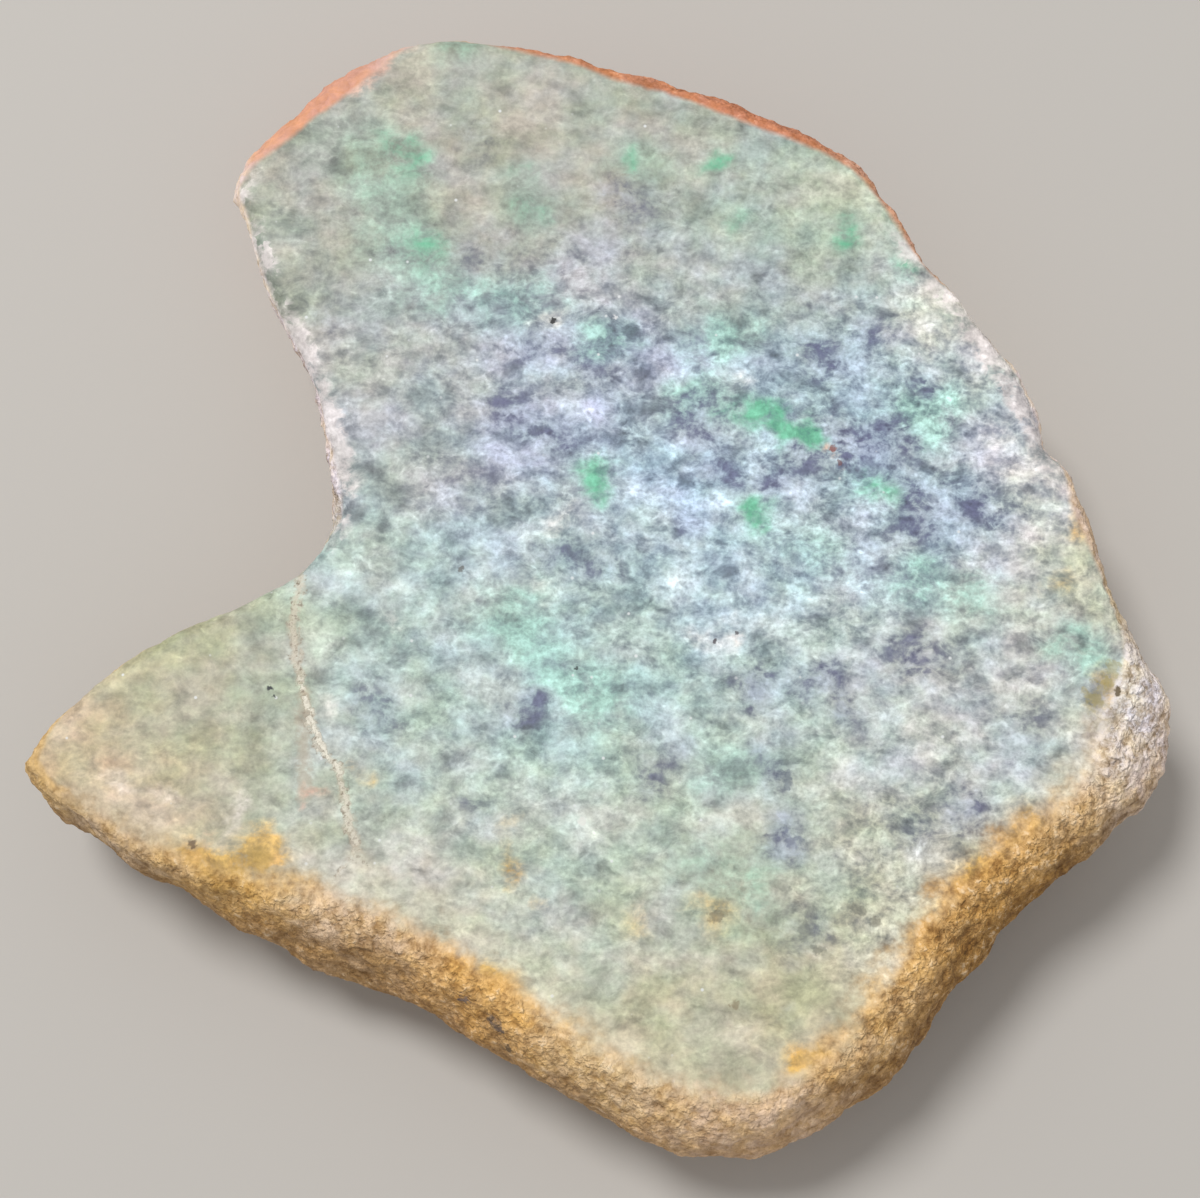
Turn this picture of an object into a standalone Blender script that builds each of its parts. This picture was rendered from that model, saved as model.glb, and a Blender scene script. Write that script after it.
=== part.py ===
# A sawn piece of a raw jade boulder, lying on its natural underside.
#
# One stone: a flat cut face on top, weathered rind swelling out around most of
# its edge, a split and ledged side with a deep notch to the west, and a pointed
# wing to the south-west. +Z is up, +Y is north, +X is east.

import math

import bmesh
import bpy
from mathutils import Vector, noise

MM = 0.001

# Driving sizes, in millimetres and degrees.
THICKNESS = 28.0        # from the foot to the cut face
HEART = (0.0, -7.0)     # the point that the sides swell away from
OUTLINE_STEP = 2.3      # spacing of the points around the edge
UPPER_RINGS = 7         # from the edge of the cut face to the widest line
LOWER_RINGS = 8         # from the widest line to the foot
FOOT_TURN = 64.0        # how far the underside has curved in where it meets the foot

# Relief of the rind.
LUMP_SIZE = 17.0
LUMP_HEIGHT = 1.9
KNOB_SIZE = 5.5
KNOB_HEIGHT = 1.2
LEDGES = 4              # layers that the split side breaks into
LEDGE_DEPTH = 1.5
RELIEF_RISE = 4.0       # how far from the cut face and the foot the relief reaches full height
LEAST_GAP = 0.02        # no point of the side stands closer to the level of either flat

# Stations around the edge, counter-clockwise from the east. Each holds the edge
# of the cut face (x, y), how far the side swells past it, how deep the widest
# line lies below the face, how far the foot lies inside that line, and how
# strongly the side is ledged. A station that ends one stretch starts the next,
# and the outline has a corner there.
LOBE_CORNER = (69.0, -7.5, 5.6, 6.5, 22.0, 0.0)
STEP_CORNER = (60.0, 20.5, 1.2, 4.5, 20.0, 0.0)
NORTH_WEST_CORNER = (-50.0, 57.5, 1.8, 5.0, 14.0, 0.3)
NOTCH_CORNER = (-34.5, 10.5, 1.0, 6.0, 9.0, 0.2)
WING_TIP = (-74.8, -22.0, 3.4, 7.0, 22.0, 0.0)

EAST_EDGE = (
    LOBE_CORNER,
    (67.5, 0.0, 2.0, 5.0, 20.0, 0.0),
    (66.0, 6.5, 2.0, 5.0, 20.0, 0.0),
    (63.5, 12.5, 2.4, 5.0, 20.0, 0.0),
    (62.0, 18.0, 2.2, 5.0, 20.0, 0.0),
    STEP_CORNER,
)
NORTH_EDGE = (
    STEP_CORNER,
    (58.0, 27.0, 1.6, 4.0, 20.0, 0.0),
    (54.0, 33.5, 2.5, 4.0, 20.0, 0.0),
    (48.5, 41.5, 2.8, 4.0, 20.0, 0.0),
    (43.5, 48.0, 3.3, 4.0, 20.0, 0.0),
    (39.0, 55.5, 3.1, 4.0, 19.0, 0.0),
    (35.0, 61.0, 2.4, 4.0, 19.0, 0.0),
    (28.5, 65.0, 2.3, 4.0, 19.0, 0.0),
    (18.0, 69.3, 2.8, 4.0, 19.0, 0.0),
    (12.5, 71.7, 2.9, 4.0, 19.0, 0.0),
    (2.5, 74.5, 3.9, 4.0, 19.0, 0.0),
    (-3.0, 77.0, 2.9, 4.0, 19.0, 0.0),
    (-8.0, 78.4, 2.0, 3.0, 19.0, 0.0),
    (-19.5, 80.4, 1.5, 2.5, 18.0, 0.0),
    (-22.7, 80.5, 1.5, 2.5, 18.0, 0.0),
    (-25.8, 79.2, 2.4, 3.0, 18.0, 0.0),
    (-28.5, 77.6, 3.2, 3.5, 19.0, 0.0),
    (-32.0, 75.2, 4.2, 4.0, 20.0, 0.0),
    (-38.5, 70.2, 3.2, 4.0, 20.0, 0.0),
    (-44.5, 65.1, 3.0, 4.0, 19.0, 0.0),
    (-48.8, 60.8, 2.0, 4.5, 18.0, 0.1),
    NORTH_WEST_CORNER,
)
SPLIT_EDGE = (
    NORTH_WEST_CORNER,
    (-48.4, 53.8, 1.6, 5.0, 12.0, 0.5),
    (-47.0, 48.2, 1.3, 6.0, 12.0, 0.7),
    (-44.5, 41.4, 1.0, 7.0, 11.0, 0.8),
    (-40.8, 34.8, 2.4, 8.0, 11.0, 1.0),
    (-38.0, 28.0, 2.2, 8.0, 11.0, 1.0),
    (-36.0, 21.5, 2.6, 8.0, 10.0, 1.0),
    (-34.2, 16.0, 3.7, 8.0, 10.0, 1.0),
    (-33.8, 13.2, 3.2, 8.0, 10.0, 0.6),
    NOTCH_CORNER,
)
WING_EDGE = (
    NOTCH_CORNER,
    (-36.5, 8.0, 0.8, 6.0, 7.0, 0.2),
    (-40.0, 3.7, 0.9, 6.0, 9.0, 0.2),
    (-44.3, 1.4, 1.1, 6.0, 10.0, 0.2),
    (-48.2, -0.9, 1.1, 6.0, 12.0, 0.1),
    (-53.8, -2.9, 1.1, 6.0, 13.0, 0.0),
    (-59.8, -6.0, 1.2, 6.0, 15.0, 0.0),
    (-66.8, -11.2, 1.0, 5.0, 17.0, 0.0),
    (-71.4, -15.6, 1.3, 5.0, 18.0, 0.0),
    (-74.0, -18.8, 1.3, 5.5, 20.0, 0.0),
    WING_TIP,
)
SOUTH_EDGE = (
    WING_TIP,
    (-72.0, -25.8, 2.9, 9.0, 24.0, 0.0),
    (-66.5, -29.2, 3.8, 11.0, 24.0, 0.0),
    (-59.5, -32.8, 5.8, 12.0, 24.0, 0.0),
    (-52.0, -35.5, 7.2, 12.0, 24.0, 0.0),
    (-44.8, -37.3, 8.4, 13.0, 24.0, 0.0),
    (-38.2, -38.6, 9.8, 13.0, 24.0, 0.0),
    (-31.6, -40.0, 10.8, 14.0, 24.0, 0.0),
    (-25.6, -43.1, 9.4, 14.0, 24.0, 0.0),
    (-19.7, -46.6, 9.1, 14.0, 24.0, 0.0),
    (-13.0, -50.4, 9.5, 14.0, 24.0, 0.0),
    (-6.5, -54.8, 9.7, 14.0, 24.0, 0.0),
    (0.0, -59.2, 9.1, 14.0, 24.0, 0.0),
    (7.5, -62.8, 9.2, 14.0, 25.0, 0.0),
    (15.5, -64.6, 9.5, 14.0, 25.0, 0.0),
    (22.7, -63.6, 9.1, 14.0, 25.0, 0.0),
    (28.8, -60.6, 7.9, 14.0, 24.0, 0.0),
    (33.0, -56.0, 8.9, 14.0, 24.0, 0.0),
    (37.0, -50.5, 9.5, 14.0, 24.0, 0.0),
    (41.0, -45.2, 9.0, 14.0, 24.0, 0.0),
    (45.5, -40.0, 10.4, 14.0, 24.0, 0.0),
    (51.0, -34.7, 10.4, 13.0, 24.0, 0.0),
    (57.0, -30.2, 9.6, 12.0, 24.0, 0.0),
    (62.0, -25.9, 9.4, 11.0, 25.0, 0.0),
    (65.0, -21.6, 10.4, 10.0, 25.0, 0.0),
    (66.2, -18.0, 10.9, 9.0, 25.0, 0.0),
    (67.2, -14.8, 10.5, 8.5, 25.0, 0.0),
    (68.8, -11.5, 8.9, 7.5, 24.0, 0.0),
    LOBE_CORNER,
)
STRETCHES = (EAST_EDGE, NORTH_EDGE, SPLIT_EDGE, WING_EDGE, SOUTH_EDGE)

# Pits in the rind: centre (x, y, z), radius, depth.
PITS = (
    (-19.0, -55.5, 20.0, 4.0, 1.0),
    (-14.5, -60.0, 17.0, 3.5, 0.9),
    (-56.0, -38.5, 20.0, 4.0, 0.8),
    (58.0, -46.0, 15.0, 4.5, 0.9),
    (77.0, -14.0, 20.0, 4.0, 0.8),
)

# Colour of the stone, linear red, green and blue.
JADE_COLOUR = (0.43, 0.50, 0.47, 1.0)
JADE_ROUGHNESS = 0.42


def remove_everything():
    for old in list(bpy.data.objects):
        bpy.data.objects.remove(old, do_unlink=True)


def distance(one, other):
    return math.hypot(other[0] - one[0], other[1] - one[1])


def slope_at(before, here, after):
    """How the station's values change per millimetre of edge."""
    span = distance(before, here) + distance(here, after)
    return [(a - b) / span for a, b in zip(after, before)]


def blend(start, end, start_slope, end_slope, share):
    """A cubic from one station to the next, at a share of the way."""
    length = distance(start, end)
    squared = share * share
    cubed = squared * share
    from_start = 2 * cubed - 3 * squared + 1
    from_end = 3 * squared - 2 * cubed
    leaving = (cubed - 2 * squared + share) * length
    arriving = (cubed - squared) * length
    return [
        from_start * s + from_end * e + leaving * ss + arriving * es
        for s, e, ss, es in zip(start, end, start_slope, end_slope)
    ]


def stations_along(stretch):
    """Evenly spaced stations on a smooth curve through one stretch, its last corner left out."""
    found = []
    last = len(stretch) - 1
    slopes = [
        slope_at(stretch[max(i - 1, 0)], stretch[i], stretch[min(i + 1, last)])
        for i in range(last + 1)
    ]
    for i in range(last):
        steps = max(1, round(distance(stretch[i], stretch[i + 1]) / OUTLINE_STEP))
        for step in range(steps):
            found.append(blend(stretch[i], stretch[i + 1], slopes[i], slopes[i + 1], step / steps))
    return found


def side_profile(station):
    """Points down the side at one station, as (radius past the face's edge, height)."""
    swell, drop, inset = station[2:5]
    points = []
    for ring in range(UPPER_RINGS + 1):
        turn = math.radians(90.0) * ring / UPPER_RINGS
        points.append((swell * math.sin(turn), THICKNESS - drop * (1 - math.cos(turn))))
    full_turn = math.radians(FOOT_TURN)
    for ring in range(1, LOWER_RINGS + 1):
        turn = full_turn * ring / LOWER_RINGS
        tucked = inset * (1 - math.cos(turn)) / (1 - math.cos(full_turn))
        height = (THICKNESS - drop) * (1 - math.sin(turn) / math.sin(full_turn))
        points.append((swell - tucked, height))
    return points


def add_rings(bm, stations):
    """One closed ring of vertices for each level, from the cut face's edge to the foot."""
    rings = [[] for _ in range(UPPER_RINGS + LOWER_RINGS + 1)]
    for station in stations:
        away = Vector((station[0] - HEART[0], station[1] - HEART[1]))
        edge = away.length
        away.normalize()
        for ring, (radius, height) in zip(rings, side_profile(station)):
            reach = edge + radius
            ring.append(bm.verts.new((HEART[0] + away.x * reach, HEART[1] + away.y * reach, height)))
    return rings


def skin_rings(bm, rings):
    """The cut face, the side from ring to ring, and the flat foot."""
    bm.faces.new(rings[0])
    bm.faces.new(reversed(rings[-1]))
    count = len(rings[0])
    for upper, lower in zip(rings, rings[1:]):
        for i in range(count):
            j = (i + 1) % count
            bm.faces.new((upper[j], upper[i], lower[i], lower[j]))


def ledge(height):
    """Steps down the split side, as a push between 0 and -1: each layer starts further out."""
    layer = LEDGES * (1 - height / THICKNESS)
    return math.floor(layer) - layer


def relief_at(place, ledged):
    """How far the side stands out at a place: lumps, knobs, ledges and pits."""
    height = LUMP_HEIGHT * noise.noise(place / LUMP_SIZE)
    height += KNOB_HEIGHT * noise.noise(place / KNOB_SIZE)
    height += LEDGE_DEPTH * ledged * ledge(place.z + 2 * noise.noise(place / LUMP_SIZE))
    for x, y, z, radius, depth in PITS:
        near = 1 - (place - Vector((x, y, z))).length / radius
        height -= depth * max(near, 0.0)
    return height


def weather(bm, rings, stations):
    """Raise and sink the side's vertices, and leave the cut face and the foot flat."""
    bm.normal_update()
    moves = []
    for ring in rings[1:-1]:
        for vert, station in zip(ring, stations):
            from_flat = min(THICKNESS - vert.co.z, vert.co.z)
            fade = min(from_flat / RELIEF_RISE, 1.0)
            moves.append((vert, vert.normal * fade * relief_at(vert.co, station[5])))
    for vert, move in moves:
        vert.co += move
        vert.co.z = min(max(vert.co.z, LEAST_GAP), THICKNESS - LEAST_GAP)


def stand_on_origin(bm):
    """Centre the stone over the origin, in plan."""
    xs = [vert.co.x for vert in bm.verts]
    ys = [vert.co.y for vert in bm.verts]
    middle = Vector(((min(xs) + max(xs)) / 2, (min(ys) + max(ys)) / 2, 0.0))
    bmesh.ops.translate(bm, verts=bm.verts, vec=-middle)


def jade_material():
    material = bpy.data.materials.new("jade")
    material.use_nodes = True
    shader = material.node_tree.nodes["Principled BSDF"]
    shader.inputs["Base Color"].default_value = JADE_COLOUR
    shader.inputs["Roughness"].default_value = JADE_ROUGHNESS
    shader.inputs["Metallic"].default_value = 0.0
    return material


def make_boulder(collection):
    bm = bmesh.new()
    stations = [station for stretch in STRETCHES for station in stations_along(stretch)]
    rings = add_rings(bm, stations)
    skin_rings(bm, rings)
    weather(bm, rings, stations)
    stand_on_origin(bm)
    bmesh.ops.scale(bm, verts=bm.verts, vec=(MM, MM, MM))
    bmesh.ops.recalc_face_normals(bm, faces=bm.faces)
    mesh = bpy.data.meshes.new("jade_boulder")
    bm.to_mesh(mesh)
    bm.free()
    mesh.materials.append(jade_material())
    mesh.shade_smooth()
    mesh.set_sharp_from_angle(angle=math.radians(50))
    collection.objects.link(bpy.data.objects.new("jade_boulder", mesh))


def main():
    remove_everything()
    collection = bpy.data.collections.new("raw jade boulder")
    bpy.context.scene.collection.children.link(collection)
    make_boulder(collection)


main()
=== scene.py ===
import bpy
import math
import numpy as np
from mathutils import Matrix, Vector, kdtree, noise
from types import SimpleNamespace


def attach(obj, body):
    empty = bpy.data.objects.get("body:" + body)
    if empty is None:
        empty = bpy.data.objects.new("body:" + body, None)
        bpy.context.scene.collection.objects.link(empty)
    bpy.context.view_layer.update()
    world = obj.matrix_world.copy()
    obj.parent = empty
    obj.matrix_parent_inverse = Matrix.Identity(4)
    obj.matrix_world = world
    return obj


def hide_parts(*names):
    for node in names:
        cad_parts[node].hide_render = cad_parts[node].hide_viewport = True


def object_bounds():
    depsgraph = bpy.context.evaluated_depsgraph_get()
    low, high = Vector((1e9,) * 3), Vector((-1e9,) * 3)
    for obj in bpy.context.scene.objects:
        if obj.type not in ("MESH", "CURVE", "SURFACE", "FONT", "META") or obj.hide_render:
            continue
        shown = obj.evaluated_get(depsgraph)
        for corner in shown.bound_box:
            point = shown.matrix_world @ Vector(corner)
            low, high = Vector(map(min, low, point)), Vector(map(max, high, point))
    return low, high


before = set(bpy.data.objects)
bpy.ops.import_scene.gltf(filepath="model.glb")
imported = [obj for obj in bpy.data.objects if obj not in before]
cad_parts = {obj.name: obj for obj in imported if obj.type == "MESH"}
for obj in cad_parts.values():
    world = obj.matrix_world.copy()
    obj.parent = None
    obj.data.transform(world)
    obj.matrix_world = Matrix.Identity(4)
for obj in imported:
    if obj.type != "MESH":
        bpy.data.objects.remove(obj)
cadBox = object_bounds()
mm = 0.001


def selectOnly(piece):
    bpy.ops.object.select_all(action="DESELECT")
    piece.select_set(True)
    bpy.context.view_layer.objects.active = piece


def applyModifier(piece, kind, **settings):
    selectOnly(piece)
    modifier = piece.modifiers.new(kind.lower(), kind)
    for name, value in settings.items():
        setattr(modifier, name, value)
    bpy.ops.object.modifier_apply(modifier=modifier.name)


def placesOf(piece):  # every vertex, in millimetres
    flat = np.empty(len(piece.data.vertices) * 3)
    piece.data.vertices.foreach_get("co", flat)
    return flat.reshape(-1, 3) / mm


def movePlaces(piece, places):
    piece.data.vertices.foreach_set("co", (places * mm).ravel())
    piece.data.update()


def eased(values, low, high):  # 0 at low, 1 at high, with a smooth start and end
    share = np.clip((values - low) / (high - low), 0, 1)
    return share * share * (3 - 2 * share)


def roughly(places, size, shift=0.0):  # smooth noise from about -0.6 to 0.6
    return np.array([noise.noise(Vector(p) / size + Vector((shift, shift, shift))) for p in places])


def paintOf(red, green, blue):  # screen colour, 0 to 255, as linear light
    return tuple(((c / 255 + 0.055) / 1.055) ** 2.4 for c in (red, green, blue))


def addField(piece, name, values):
    field = piece.data.attributes.new(name, "FLOAT", "POINT")
    field.data.foreach_set("value", np.asarray(values, np.float32))


def addColourField(piece, name, colours):
    field = piece.data.attributes.new(name, "FLOAT_COLOR", "POINT")
    rgba = np.ones((len(colours), 4), np.float32)
    rgba[:, :3] = colours
    field.data.foreach_set("color", rgba.ravel())


def fieldOf(piece, name):
    values = np.empty(len(piece.data.vertices), np.float32)
    piece.data.attributes[name].data.foreach_get("value", values)
    return values.astype(float)


def awayFromLine(places, route):  # mm from a line of points, in plan, 99 at most
    nearest = np.full(len(places), 99.0)
    for (x0, y0), (x1, y1) in zip(route, route[1:]):
        run = np.array((x1 - x0, y1 - y0))
        offset = places[:, :2] - np.array((x0, y0))
        share = np.clip(offset @ run / (run @ run), 0, 1)
        away = np.linalg.norm(offset - share[:, None] * run, axis=1)
        nearest = np.minimum(nearest, away)
    return nearest


shape = dict(
    voxel=1.05,         # mm between the remeshed points
    edgeSpacing=0.25,   # mm between the points that mark the cut's edge
    cutSlack=0.02,      # mm off the cut's level that still count as on it
    remeshSlack=0.05,   # mm the same after the remesh
    flatGap=0.3,        # mm; points this close to the saw cut or the foot are laid on it
    flatInset=0.8,      # mm inside the cut's edge, from where points are laid on the cut
    softEdge=3.2,       # mm either side of the cut's edge that are rounded over along the south
    softPasses=14,      # how often they are smoothed
    crispEdge=1.3,      # mm rounded over everywhere
    crispPasses=5,
    edgeCore=0.4,       # share of either width that is smoothed in full
    bandInset=0.6,      # mm inside the cut's edge, as far as the rind's finer mesh reaches
    bandLow=6.0,        # mm above the table, below which the rind isn't split finer
    crackReach=1.6,     # mm from the crack, within which the cut's mesh is split finer
    crackSplits=2,      # how often
    reliefStart=0.2,    # mm outside the cut where the relief begins
    reliefFull=2.4,     # mm outside the cut where it has its full height
    reliefLow=0.3,      # mm above the table where the relief begins
    reliefRisen=3.0,    # mm above the table where it has its full height
    boxGap=0.01,        # mm kept inside the solid's box
    cutGap=0.02,        # mm that the rind stays below the cut
)
reliefLayers = [
    # size in mm, height in mm
    (7.0, 0.9),
    (2.4, 0.65),
    (1.1, 0.5),
]
weathering = dict(      # the part of the cut's edge that is blurred, in the south and under the wing
    northEnd=13,        # mm south of the middle where the blur begins
    southFull=20,       # mm south of the middle where it is full
    wingTip=(-75.7, -27.7),     # mm
    wingRise=0.87,      # how steeply the wing's own line climbs eastwards from its tip
    wingClear=4,        # mm south of that line where the blur begins
    wingFull=10,        # mm south of that line where it is full
)


def copyOfNode(name, newName):
    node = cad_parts[name]
    piece = node.copy()
    piece.data = node.data.copy()
    piece.name = newName
    piece.data.name = newName
    piece.parent = None
    for key in list(piece.keys()):
        del piece[key]
    bpy.context.scene.collection.objects.link(piece)
    piece.data.materials.clear()
    selectOnly(piece)
    bpy.ops.object.mode_set(mode="EDIT")
    bpy.ops.mesh.select_all(action="SELECT")
    bpy.ops.mesh.remove_doubles(threshold=0.000001)
    bpy.ops.object.mode_set(mode="OBJECT")
    return piece


def cutEdgePoints(piece, top):  # points along the edge of the sawn face, closely spaced
    places = placesOf(piece)
    uses = {}
    for face in piece.data.polygons:
        flat = all(abs(places[v][2] - top) < shape["cutSlack"] for v in face.vertices)
        for key in face.edge_keys:
            uses.setdefault(key, []).append(flat)
    points = []
    for (a, b), flats in uses.items():
        if len(flats) == 2 and flats[0] != flats[1]:
            steps = max(2, int(np.linalg.norm(places[a] - places[b]) / shape["edgeSpacing"]))
            for step in range(steps):
                points.append(places[a] + (places[b] - places[a]) * step / steps)
    return points


def insetFrom(places, edgePoints, top):  # mm inside the cut's edge, negative on the sides
    tree = kdtree.KDTree(len(edgePoints))
    for i, point in enumerate(edgePoints):
        tree.insert(point, i)
    tree.balance()
    away = np.array([tree.find(p)[2] for p in places])
    return np.where(places[:, 2] > top - shape["remeshSlack"], away, -away)


def splitFiner(piece, wanted):  # subdivides the faces whose points are all wanted
    selectOnly(piece)
    bpy.ops.object.mode_set(mode="EDIT")
    bpy.ops.mesh.select_mode(type="FACE")
    bpy.ops.mesh.select_all(action="DESELECT")
    bpy.ops.object.mode_set(mode="OBJECT")
    corners = np.empty(len(piece.data.loops), np.int32)
    piece.data.loops.foreach_get("vertex_index", corners)
    starts = np.empty(len(piece.data.polygons), np.int32)
    piece.data.polygons.foreach_get("loop_start", starts)
    piece.data.polygons.foreach_set("select", np.logical_and.reduceat(wanted[corners], starts))
    bpy.ops.object.mode_set(mode="EDIT")
    bpy.ops.mesh.subdivide(number_cuts=1)
    bpy.ops.object.mode_set(mode="OBJECT")


def addWeights(piece, name, weights):
    group = piece.vertex_groups.new(name=name)
    for i in np.nonzero(weights > 0.001)[0]:
        group.add([int(i)], float(weights[i]), "REPLACE")


def nearEdge(inset, width):  # 1 along the cut's edge, falling to 0 at this width either side
    return 1 - eased(np.abs(inset), width * shape["edgeCore"], width)


def roundEdge(piece, inset, south):
    addWeights(piece, "softEdge", nearEdge(inset, shape["softEdge"]) * south)
    addWeights(piece, "crispEdge", nearEdge(inset, shape["crispEdge"]))
    applyModifier(piece, "SMOOTH", factor=0.5, iterations=shape["softPasses"], vertex_group="softEdge")
    applyModifier(piece, "SMOOTH", factor=0.5, iterations=shape["crispPasses"], vertex_group="crispEdge")
    piece.vertex_groups.clear()


def raiseRelief(piece, weights):
    addWeights(piece, "rind", weights)
    for number, (size, height) in enumerate(reliefLayers):
        texture = bpy.data.textures.new(f"relief{number}", "CLOUDS")
        texture.noise_scale = size * mm
        texture.noise_depth = 1
        applyModifier(piece, "DISPLACE", texture=texture, texture_coords="LOCAL", direction="NORMAL",
                      strength=height * mm, mid_level=0.5, vertex_group="rind")
    piece.vertex_groups.clear()


def southOf(places):  # 1 where the edge of the cut is blurred by weathering, 0 where it is crisp
    tipX, tipY = weathering["wingTip"]
    wingLine = tipY + weathering["wingRise"] * (places[:, 0] - tipX)
    south = eased(-places[:, 1], weathering["northEnd"], weathering["southFull"])
    return south * eased(wingLine - places[:, 1], weathering["wingClear"], weathering["wingFull"])


def refineMesh(piece, inset, places):  # a finer mesh for the rind, and finer again along the crack
    splitFiner(piece, (inset < shape["bandInset"]) & (places[:, 2] > shape["bandLow"]))
    for _ in range(shape["crackSplits"]):
        nearCrack = awayFromLine(placesOf(piece), crackRoute) < shape["crackReach"]
        splitFiner(piece, nearCrack & (fieldOf(piece, "inset") > 0))


def keepInBox(piece, inset, top):  # holds the raised rind inside the solid's box and below the cut
    low, high = (np.array(corner) / mm for corner in cadBox)
    places = np.clip(placesOf(piece), low + shape["boxGap"], high - shape["boxGap"])
    places[inset < 0, 2] = np.minimum(places[inset < 0, 2], top - shape["cutGap"])
    movePlaces(piece, places)
    return places


def makeStone():
    piece = copyOfNode("jade_boulder", "stone")
    top = cadBox[1][2] / mm
    edgePoints = cutEdgePoints(piece, top)
    applyModifier(piece, "REMESH", mode="VOXEL", voxel_size=shape["voxel"] * mm, use_smooth_shade=True)

    places = placesOf(piece)
    inset = insetFrom(places, edgePoints, top)
    places[(places[:, 2] > top - shape["flatGap"]) & (inset > shape["flatInset"]), 2] = top
    places[places[:, 2] < shape["flatGap"], 2] = 0.0
    movePlaces(piece, places)
    addField(piece, "inset", inset)
    roundEdge(piece, inset, southOf(places))
    refineMesh(piece, inset, places)

    before = placesOf(piece)
    inset = fieldOf(piece, "inset")
    outside = eased(-inset, shape["reliefStart"], shape["reliefFull"])
    raiseRelief(piece, outside * eased(before[:, 2], shape["reliefLow"], shape["reliefRisen"]))
    places = keepInBox(piece, inset, top)
    # each point's rise along its normal, from which the finish paints shade into the rind's hollows and light
    # onto its crests
    normals = np.empty(len(places) * 3)
    piece.data.vertices.foreach_get("normal", normals)
    addField(piece, "relief", ((places - before) * normals.reshape(-1, 3)).sum(axis=1))
    selectOnly(piece)
    bpy.ops.object.shade_smooth()
    triangles = sum(len(face.vertices) - 2 for face in piece.data.polygons)
    print("stone shaped:", len(places), "points,", triangles, "triangles")
    return piece


# The tables place the paint in mm across the cut face, x to the east and y to the north.

zones = [
    # x, y, reach, colour of the jade there, how strongly its grains show
    (-37.5, 50.8, 20, (168, 171, 157), 0.60),   # north-west, warm grey-green
    (-10.5, 64.8, 18, (184, 184, 170), 0.38),   # north, warm grey
    (27.5, 51.8, 18, (176, 187, 176), 0.54),    # north-east, green-grey
    (38.0, 52.5, 7, (206, 216, 186), 0.60),     # north-east rim, yellow green
    (50.0, 36.5, 8, (222, 218, 200), 0.84),     # north-east edge, cream white
    (-27.5, 27.8, 15, (178, 184, 182), 0.72),   # west, grey
    (-5.5, 25.8, 17, (178, 186, 202), 1.00),    # middle, lavender
    (35.5, 19.8, 18, (180, 198, 210), 1.08),    # east of the middle, blue lavender
    (8.5, 12.8, 8, (184, 206, 222), 0.92),      # middle, pale blue
    (14.0, -3.0, 8, (198, 212, 222), 0.86),     # south of the middle, whitish blue
    (59.5, 14.5, 7, (226, 219, 212), 0.84),     # along the east edge, whitish
    (46.0, 12.0, 8, (174, 189, 200), 1.00),     # west of the east edge, blue grey
    (0.5, -14.2, 20, (176, 200, 200), 0.82),    # south of the middle, aqua
    (66.0, -1.5, 6, (214, 212, 192), 0.70),     # south end of the east edge, yellowish
    (52.5, -17.2, 15, (199, 205, 203), 0.72),   # south-east, pale
    (-25.5, -13.2, 15, (183, 199, 193), 0.66),  # south-west of the middle, aqua green
    (-55.5, -18.2, 14, (185, 183, 154), 0.44),  # wing, grey-green
    (-65.5, -29.2, 10, (216, 188, 154), 0.54),  # wing's south side, cream
    (8.5, -38.2, 18, (197, 204, 189), 0.56),    # south, green
    (14.5, -61.2, 14, (200, 193, 160), 0.42),   # south tip, cream green
    (-27.5, -42.2, 10, (202, 199, 180), 0.50),  # south-west, pale
    (40.5, -43.2, 10, (186, 187, 168), 0.98),   # towards the south-east rind
]
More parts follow.
